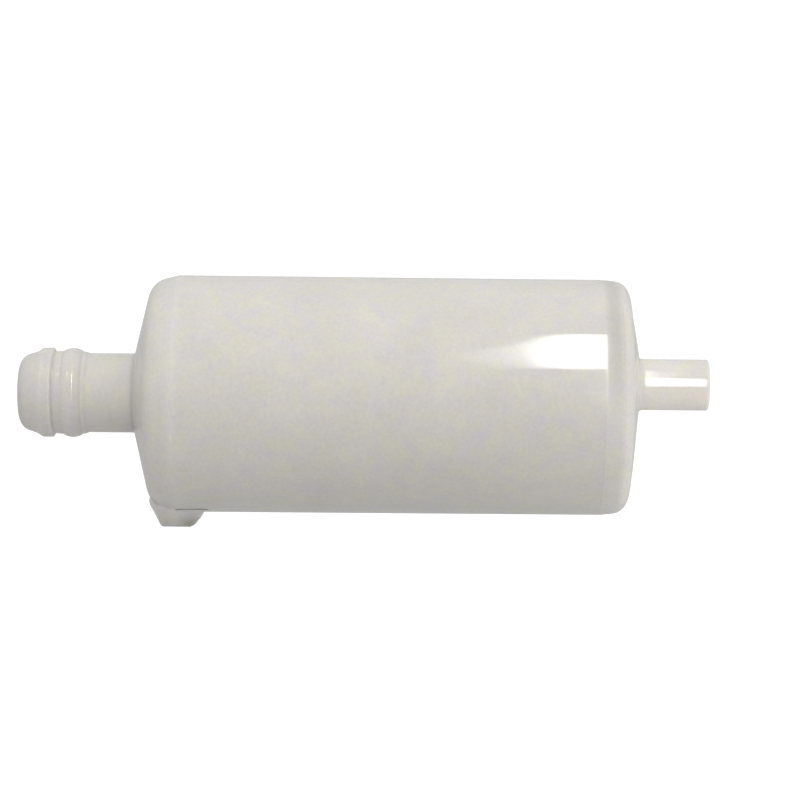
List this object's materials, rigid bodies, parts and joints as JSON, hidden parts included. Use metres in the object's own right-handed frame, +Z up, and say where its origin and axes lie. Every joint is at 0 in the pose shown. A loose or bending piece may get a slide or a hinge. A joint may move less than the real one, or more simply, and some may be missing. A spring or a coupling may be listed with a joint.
{
  "type": "in-line fuel filter",
  "caption": "Welded nylon in-line fuel filter with a barbed inlet, a plain outlet stub set above the axis, and a pleated paper element inside.",
  "frame": {"origin": "centre of the inlet mouth, on the housing's axis", "axes": "+X along the flow from the inlet to the outlet, +Z up, with the seam lug at -Z and the outlet stub above the axis"},
  "size_m": [0.0855, 0.0294, 0.0312],
  "materials": {
    "shell": "natural translucent nylon, moulded gloss",
    "end_disc": "moulded satin nylon",
    "potting": "cured amber plastisol, slightly glossy",
    "filter_paper": "resin-treated pleated filter paper",
    "core": "moulded satin nylon",
    "seal_rubber": "black fuel-resistant rubber"
  },
  "bodies": {
    "root": {"inlet_cap": "shell", "barrel": "shell", "inlet_end_disc": "end_disc", "inlet_end_potting": "potting", "pleat_pack": "filter_paper", "seam_bead": "potting", "support_core": "core", "outlet_end_potting": "potting", "outlet_end_disc": "end_disc", "outlet_o_ring": "seal_rubber"}
  },
  "joints": []
}
